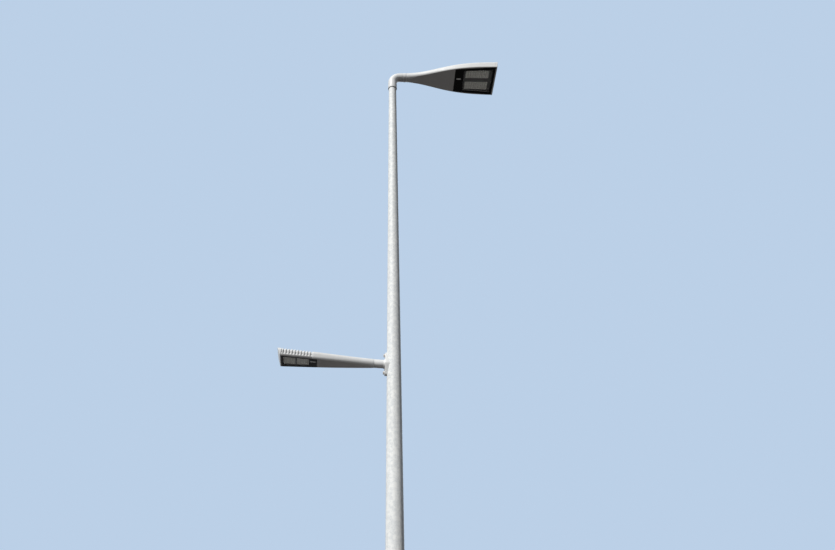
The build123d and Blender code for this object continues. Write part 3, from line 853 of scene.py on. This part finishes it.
def on_lower_arm(points):
    """The lower arm: tilted up about y, then turned about z, then lifted."""
    x = points[..., 0] * cos(tilt) - points[..., 2] * sin(tilt)
    z = points[..., 0] * sin(tilt) + points[..., 2] * cos(tilt)
    y = points[..., 1]
    return np.stack([x * cos(turn) - y * sin(turn), x * sin(turn) + y * cos(turn), z + lower_axis], -1)


upper = HeadForm(
    name="upper", carry=on_upper_arm, cap=1.089,
    neck=0.046, half_width=0.211, top=0.061, crown=0.012, fall=0.037, drop=0.0305,
    heel=0.016, fillet=0.003, low=0.671, high=1.086, face=-0.0315, margin=0.018,
    border=0.024, rim_bar=0.086, pane_bar=0.074, lap=0.016, reach=0.009,
    share=lambda x: 1 - np.exp(-(((x - 0.110) / 0.464) ** 2)),
    underside=lambda x: np.interp(x, [0.180, 0.270], [-0.046, -0.0305]),
)
lower = HeadForm(
    name="lower", carry=on_lower_arm, cap=0.939,
    neck=0.0375, half_width=0.126, top=0.0435, crown=0.006, fall=0.041, drop=0.033,
    heel=0.028, fillet=0.0025, low=0.642, high=0.936, face=-0.034, margin=0.006,
    border=0.016, rim_bar=0.066, pane_bar=0.066, lap=0.0, reach=0.0,
    share=lambda x: 1.45 * (x - 0.171) / 0.773 - 0.45 * ((x - 0.171) / 0.773) ** 2,
    underside=lambda x: np.interp(x, [0.171, 0.231], [-0.0375, -0.033]),
)
print("upper half width at 0.6 m", round(float(upper.size(0.6, upper.neck, upper.half_width)), 3))


# %% Stations with eased ends, and the width of a pocket
def stations(start, end, step, ease, doubled=()):
    """Positions along a casting, and how far each is set in: a quarter round at its ends.

    A doubled position gives two sections at one place, for a step.
    """
    near, rounded = (part[:-1] for part in quarter_round(ease, 4))
    middle = np.linspace(start + ease, end - ease, round((end - start) / step))
    middle = np.sort(np.concatenate([middle, doubled, doubled]))
    x = np.concatenate([start + near, middle, end - near[::-1]])
    return x, np.concatenate([rounded, 0 * middle, rounded[::-1]])


def pocket_width(head, x, low, high, margin):
    """Half width of a pocket between two stations, a margin inside the underside's edges."""
    low_half, high_half = head.flat_half(low) - margin, head.flat_half(high) - margin
    return low_half + (high_half - low_half) * (x - low) / (high - low)


# %% [markdown]
# ## The upper casting
# The casting runs from the clamp ring to the tip. Its underside ramps up to a flat, and
# the flat has a pocket for glass and boards. Its crown stays smooth: one long highlight
# from neck to tip. Two stations stand at each end of the pocket, one with and one without
# its depth, so its end walls are upright.

# %% Upper casting
upper_start, pocket_depth = 0.150, 0.0220
pocket_low, pocket_high = upper.low + 0.0637, upper.high - 0.0137
x, inset = stations(upper_start, upper.cap, step=0.014, ease=0.0020, doubled=[pocket_low, pocket_high])
number = np.arange(len(x))
in_pocket = (number > np.searchsorted(x, pocket_low)) & (number <= np.searchsorted(x, pocket_high))
pocket_half = pocket_width(upper, x, pocket_low, pocket_high, margin=0.0317)
body = on_upper_arm(upper.rings(x, inset, (pocket_half, pocket_depth * in_pocket)))
make_piece("upper_casting", [solid(body)], paint, ["upper_housing"])

# %% [markdown]
# ## The bracket of the lower arm
# A cast flange hugs the pole and is held by two bolts. From it comes the tube the lower
# head slides over. The flange's outline is the hull of one large and two small circles,
# laid out again in even steps. Its back is hollow and follows the pole: at every point it
# starts where the cone is. Both faces close by pulling the outline in to its middle line.


# %% Hollow-backed flange
def even_steps(outline, count):
    """The closed outline again, as points at even distances along it."""
    ring = np.concatenate([outline, outline[:1]])
    travelled = np.concatenate([[0], np.cumsum(np.linalg.norm(np.diff(ring, axis=0), axis=1))])
    wanted = np.linspace(0, travelled[-1], count, endpoint=False)
    return np.stack([np.interp(wanted, travelled, ring[:, i]) for i in (0, 1)], -1)


def pole_face(y, z):
    """Where the pole's surface lies along the tilted arm, with a hair of air."""
    reach = np.sqrt(pole_radius(lower_axis + z) ** 2 - y**2)
    return (reach + z * sin(tilt)) / cos(tilt) + 0.0005


flange_front, flange_ease = 0.078, 0.0006
flange_circles = [(0, 0, 0.044), (0, 0.0805, 0.023), (0, -0.0805, 0.023)]
flange_insets = [0.0020, 0.0020, flange_ease, 0, 0] + 4 * [flange_ease]
flange_pull = np.array([0, 1, 1, 1, 1, 1, 0.66, 0.33, 0])[:, None]
plan = np.stack([even_steps(hull_outline(flange_circles, 256, inset), 176) for inset in flange_insets])
flange_y, flange_z = plan[..., 0] * flange_pull, plan[..., 1]
back = pole_face(flange_y, flange_z)
front = flange_front - np.array([0, 0, 0.0006, 0.0020])[:, None] + 0 * flange_z[:4]
flange_x = np.concatenate([front, back[4:5] + flange_ease, back[5:]])
flange = on_lower_arm(np.stack([flange_x, flange_y, flange_z], -1))
make_piece("cast_flange", [tube(flange)], paint, ["bracket_flange"])

# %% [markdown]
# The tube starts in a cone on the flange and ends inside the lamp head. Two small screws,
# set from below through the head's neck, grip it. The bolts have washers, hexagonal heads
# with a chamfer, and shanks that reach into the pole.


# %% Tube and neck screws
def across_arm(points):
    """Turns a stack's z axis along the arm: heights become x, and the outline stands up."""
    return np.stack([points[..., 2], points[..., 0], points[..., 1]], -1)


tube_radius, nose_start, nose_radius, nose_tip = 0.0360, 0.1705, 0.030, 0.281
tube_profile = [
    (flange_front, 0), (flange_front, 0.0420), (0.090, tube_radius), (nose_start, tube_radius),
    (nose_start, nose_radius), (nose_tip, nose_radius), (nose_tip, 0),
]
tube_profile = eased(tube_profile, [0, 0.001, 0.012, 0.001, 0, 0.001, 0], 5, closed=False)
spigot = on_lower_arm(across_arm(turned_profile(tube_profile, 72)))
make_piece("spigot_tube", [tube(spigot)], paint, ["bracket_spigot"])

neck_ways = [(0, side * sin(radians(55)), -cos(radians(55))) for side in (-1, 1)]
neck_size = {"foot": 0.0360, "top": 0.0412, "radius": 0.0045, "socket": 0.0025, "depth": 0.0026}
neck_screws = [tube(on_lower_arm(screw((0.187, 0, 0), way, **neck_size))) for way in neck_ways]
make_piece("neck_screws", neck_screws, steel)

# %% Bolts
washer = [
    (0.0782, 0.0085), (0.0782, 0.0146), (0.0786, 0.015), (0.0806, 0.015), (0.081, 0.0146),
    (0.081, 0.0085), (0.0782, 0.0085),
]
bolt = [
    (0.040, 0, 0), (0.040, 0.008, 0), (0.081, 0.008, 0), (0.081, 0.01386, 1),
    (0.0895, 0.01386, 1), (0.0905, 0.0128, 0.5), (0.091, 0.0114, 0), (0.091, 0, 0),
]
bolts = [
    tube(on_lower_arm(across_arm(turned_profile(profile, 72)) + [0, 0, z]))
    for z in (-0.0775, 0.0775) for profile in (washer, bolt)
]
make_piece("flange_bolts", bolts, old_zinc, ["bracket_bolts"])

# %% [markdown]
# ## The lower castings
# The lower head is cast in two halves: a smooth housing next to the arm, and a heat sink
# beyond a fine seam. The ribs wrap over the top and down both sides and end above a smooth
# rim. They are part of one surface: between two ribs the section is set in by 8 mm, and
# the set-in fades out at the rim and rises and falls softly along the head.

# %% Smooth housing
lower_start, sink_start, seam = 0.171, lower.cap - 0.251, 0.0006
x, inset = stations(lower_start, sink_start - seam, step=0.016, ease=0.0012)
housing = on_lower_arm(lower.rings(x, inset))
make_piece("lower_smooth_housing", [solid(housing)], paint, ["lower_gear_housing"])

# %% Ribbed heat sink
rib_pitch, rib_depth, rib_count, rib_half, flank = 0.0246, 0.008, 10, 0.0038, 0.0058
groove_end, groove_fade = -0.015, 0.011
x = np.linspace(sink_start, lower.cap, 205)
from_rib = np.abs((lower.cap - x) / rib_pitch % 1.0 - 0.5) * rib_pitch
on_rib = 1 - np.clip((from_rib - rib_half) / flank, 0, 1)
on_rib = on_rib**2 * (3 - 2 * on_rib)
on_rib = np.where(x < lower.cap - rib_count * rib_pitch, 0.0, on_rib)


def groove(z, upward):
    """How far each point is set in: full between ribs above the rim, nothing below it."""
    rise = np.clip((z - groove_end) / groove_fade, 0, 1)
    rise = rise**2 * (3 - 2 * rise) * (upward > -0.5)
    return rib_depth * (1 - on_rib)[:, None] * rise


pocket_low, pocket_high, pocket_depth = lower.low + 0.056, lower.high - 0.0057, 0.0170
pocket_half = pocket_width(lower, x, pocket_low, pocket_high, margin=0.0117)
sink = on_lower_arm(lower.rings(x, groove, (pocket_half, pocket_depth * (x < pocket_high))))
make_piece("ribbed_heat_sink", [solid(sink)], ribbed_paint, ["lower_heat_sink"], sharp=50)

# %% [markdown]
# ## End caps
# A separate lip closes each head's tip. It stands a little proud of the casting, so a fine
# shadow line shows, and its end leans outwards towards the top.


# %% Lips at both tips
def end_lip(head, length, lean, proud, ease):
    """A slice of even section between two planes, the outer one leaning, edges eased."""
    share, (inwards, back) = np.linspace(0, 1, 5)[:-1], quarter_round(ease, 5)
    inset = np.concatenate([[ease / 2], 0 * share, inwards]) - proud
    section = head.rings(np.full(len(inset), head.cap + length / 2), inset)
    outer = head.cap + length + lean * (section[..., 2] + head.drop) / (head.top + head.drop)
    straight = head.cap + ease / 2 + (outer[1:5] - head.cap - 1.5 * ease) * share[:, None]
    rounded = outer[5:] - back[:, None]
    section[..., 0] = np.concatenate([head.cap + 0 * outer[:1], straight, rounded])
    return solid(head.carry(section))


upper_lip = end_lip(upper, length=0.011, lean=0.011, proud=0.0015, ease=0.0025)
make_piece("upper_end_lip", [upper_lip], paint, ["upper_end_cap"])
lower_lip = end_lip(lower, length=0.005, lean=0.028, proud=0.0015, ease=0.0020)
make_piece("lower_tip_lip", [lower_lip], paint, ["lower_end_lip"])

# %% [markdown]
# ## Black rims and panes
# The rim is a flat black ring, wide on the arm's side and narrow on the others. Its outer
# and inner outlines are eased trapezoids with the same number of points, so the ring is
# made of rows that go from one to the other, down round the edges and back. The upper rim
# also laps over its casting. The pane lies on the rim's back and laps 10 mm under it.


# %% Rims and panes
def eased_plan(head, low, high, margin, inset):
    """The underside's outline between two stations, a margin inside its edges."""
    near, far = head.flat_half(low) - margin, head.flat_half(high) - margin
    return eased_box([(low, -near), (high, -far), (high, far), (low, near)], 0.008, inset, 8)


def opening(head, bar, lap, inset):
    """The outline of the rim's opening, moved outwards by a lap."""
    margin = head.margin + head.border - lap
    return eased_plan(head, head.low + bar - lap, head.high - head.border + lap, margin, inset)


def rim_grid(head):
    """Outer wall, eased edge, flat face, eased edge and inner wall of a black rim."""
    outer = lambda inset: eased_plan(head, head.low - head.reach, head.high, head.margin - head.lap, inset)
    inner = lambda inset: opening(head, head.rim_bar, 0, inset)
    inwards, upwards = quarter_round(0.0012, 4)
    rows = [outer(0), *map(outer, inwards), *map(inner, -inwards[::-1]), inner(0), outer(0)]
    heights = np.concatenate([[rim_thickness], upwards, upwards[::-1], 2 * [rim_thickness]])
    return tube(head.carry(stack(rows, head.face + heights)))


def pane_grid(head):
    """A pane with eased edges that laps under the rim."""
    lap, ease, thickness = 0.010, 0.0006, 0.004
    rows = [opening(head, head.pane_bar, lap, inset) for inset in (ease, 0, 0, ease)]
    heights = np.array([0, ease, thickness - ease, thickness])
    return solid(head.carry(stack(rows, head.face + rim_thickness + heights)))


rim_thickness = 0.005
for head in (upper, lower):
    make_piece(head.name + "_black_rim", [rim_grid(head)], black, [head.name + "_glass_frame"])
    make_piece(head.name + "_pane", [pane_grid(head)], glass, [head.name + "_glass"])

# %% [markdown]
# ## Boards, chips and lenses
# Behind each pane lie the LED boards. Every light source is a small yellow square under a
# milky lens of its own. One dome is worked out once, and adding an array of centres to it
# gives the whole field in a single step. The lower lenses sit on the CAD's own modules.


# %% Lens fields
def repeated(points, centres):
    """The same grid once at every centre."""
    offset = np.concatenate([centres, np.zeros((len(centres), 1))], 1)
    return points[None] + offset[:, None, None]


def lens_field(centres, radius, height, face):
    """Square domes that hang from a board's face: depth falls with the fourth power of radius.

    Their outline is the square with round corners on which x^6 + y^6 is constant.
    """
    share = np.linspace(1, 0, 6)[:, None]
    angle = circle(24)
    reach = radius * share * (np.cos(angle) ** 6 + np.sin(angle) ** 6) ** (-1 / 6)
    depth = height * (1 - share**4) + 0.0004 * (share < 1)
    dome = about_z(reach, angle, face - depth)
    return repeated(np.concatenate([dome[:1] + [0, 0, 0.0002], dome]), centres)


def field_centres(middle, length, width, along, across):
    """Evenly spaced centres over a board, half a pitch from its edges."""
    x = middle[0] + length * ((np.arange(along) + 0.5) / along - 0.5)
    y = middle[1] + width * ((np.arange(across) + 0.5) / across - 0.5)
    return np.stack(np.meshgrid(x, y), -1).reshape(-1, 2)


# %% Upper boards with their chips and lenses
board_face, board_low, board_high = upper.face + 0.017, 0.778, upper.high - 0.059
board_width, board_offset, board_length = 0.110, 0.0825, board_high - board_low
for side, word in ((-1, "near"), (1, "far")):
    first, last = side * board_offset - board_width / 2, side * board_offset + board_width / 2
    corners = [(board_low, first), (board_high, first), (board_high, last), (board_low, last)]
    plans = [eased_box(corners, 0.004, inset, 6) for inset in (0.0003, 0, 0, 0.0003)]
    board = stack(plans, board_face + np.array([0.0, 0.0003, 0.0017, 0.0020]))
    make_piece("upper_board_" + word, [solid(on_upper_arm(board))], mask_white, ["upper_led_board_" + word])
upper_centres = np.concatenate([
    field_centres((board_low + board_length / 2, y), board_length - 0.004, width=0.104, along=10, across=4)
    for y in (-board_offset, board_offset)
])
upper_lenses = lens_field(upper_centres, radius=0.0108, height=0.0060, face=board_face)
make_piece("upper_lenses", [solid(on_upper_arm(upper_lenses))], lens_plastic)
chip_side = 0.0042
chip_corners = np.array([(-1, -1), (1, -1), (1, 1), (-1, 1)]) * chip_side / 2
chip = stack([chip_corners, chip_corners], [board_face - 0.0002, board_face - 0.0009])
upper_chips = repeated(chip, upper_centres)
make_piece("upper_chips", [solid(on_upper_arm(upper_chips))], phosphor)

# %% Lower lenses
module_middle, module_pitch, module_face = lower.high - 0.065, 0.112, lower.face + 0.012
lower_centres = np.concatenate([
    field_centres((x, 0), length=0.096, width=0.140, along=4, across=5)
    for x in (module_middle, module_middle - module_pitch)
])
lower_lenses = lens_field(lower_centres, radius=0.0106, height=0.0020, face=module_face)
make_piece("lower_lenses", [solid(on_lower_arm(lower_lenses))], lens_plastic)

# %% [markdown]
# ## Catches
# Near the arm, each black rim carries a small steel catch that holds the pane's frame
# shut. It is the hull of two circles with eased edges, with a screw at its centre.

# %% Catch plates and their screws
half_length, end_radius = 0.015, 0.009
fixing_size = {"foot": 0.0028, "top": 0.0040, "radius": 0.0048, "socket": 0.0022, "depth": 0.0012}
for head, from_rim, y in ((upper, 0.037, -0.028), (lower, 0.034, 0.035)):
    x = head.low + from_rim
    ends = [(x - half_length, y, end_radius), (x + half_length, y, end_radius)]
    plans = [hull_outline(ends, 64, inset) for inset in (0, 0, 0.0004, 0.0015)]
    plate = stack(plans, head.face - np.array([0, 0.0020, 0.0028, 0.0032]))
    fixing = screw((x, y, head.face), (0, 0, -1), **fixing_size)
    catch = [solid(head.carry(plate)), tube(head.carry(fixing))]
    make_piece(head.name + "_catch_plate", catch, steel, [head.name + "_catch"])

# %% [markdown]
# ## Finishes for the nodes that stay
# The door's frame, the trays behind the boards and the lower modules are right as the CAD
# made them. They only take their finish.

# %% Dress the CAD nodes that stay
kept = {
    zinc: ["door_frame"],
    tray_paint: ["upper_gear_tray", "lower_gear_tray"],
    mask_white: ["lower_led_module_tip", "lower_led_module_arm"],
}
for finish, names in kept.items():
    for name in names:
        dress(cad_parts[name], finish)
print("dressed", sum(len(names) for names in kept.values()), "nodes")

# %% [markdown]
# ## The floor
# The pole stands on a plain pale floor. It keeps the light's shadow. For light that
# bounces it is darker, so the undersides of the lamp heads stay in shade as they do above
# a road.

# %% Floor
floor_colour, floor_reach = (0.62, 0.63, 0.64), 300
floor_finish = Finish("pale_floor", None, floor_colour, 0.8)
rays = node(floor_finish.tree, "ShaderNodeLightPath").outputs
floor_finish.tint(rays["Is Camera Ray"], (0.105, 0.098, 0.092), floor_colour)
floor_mesh = bpy.data.meshes.new("floor")
floor_corners = [(floor_reach * x, floor_reach * y, 0) for x, y in ((-1, -1), (1, -1), (1, 1), (-1, 1))]
floor_mesh.from_pydata(floor_corners, [], [(0, 1, 2, 3)])
floor = bpy.data.objects.new("floor", floor_mesh)
dress(floor, floor_finish)
bpy.context.scene.collection.objects.link(floor)
print("floor", 2 * floor_reach, "m wide")
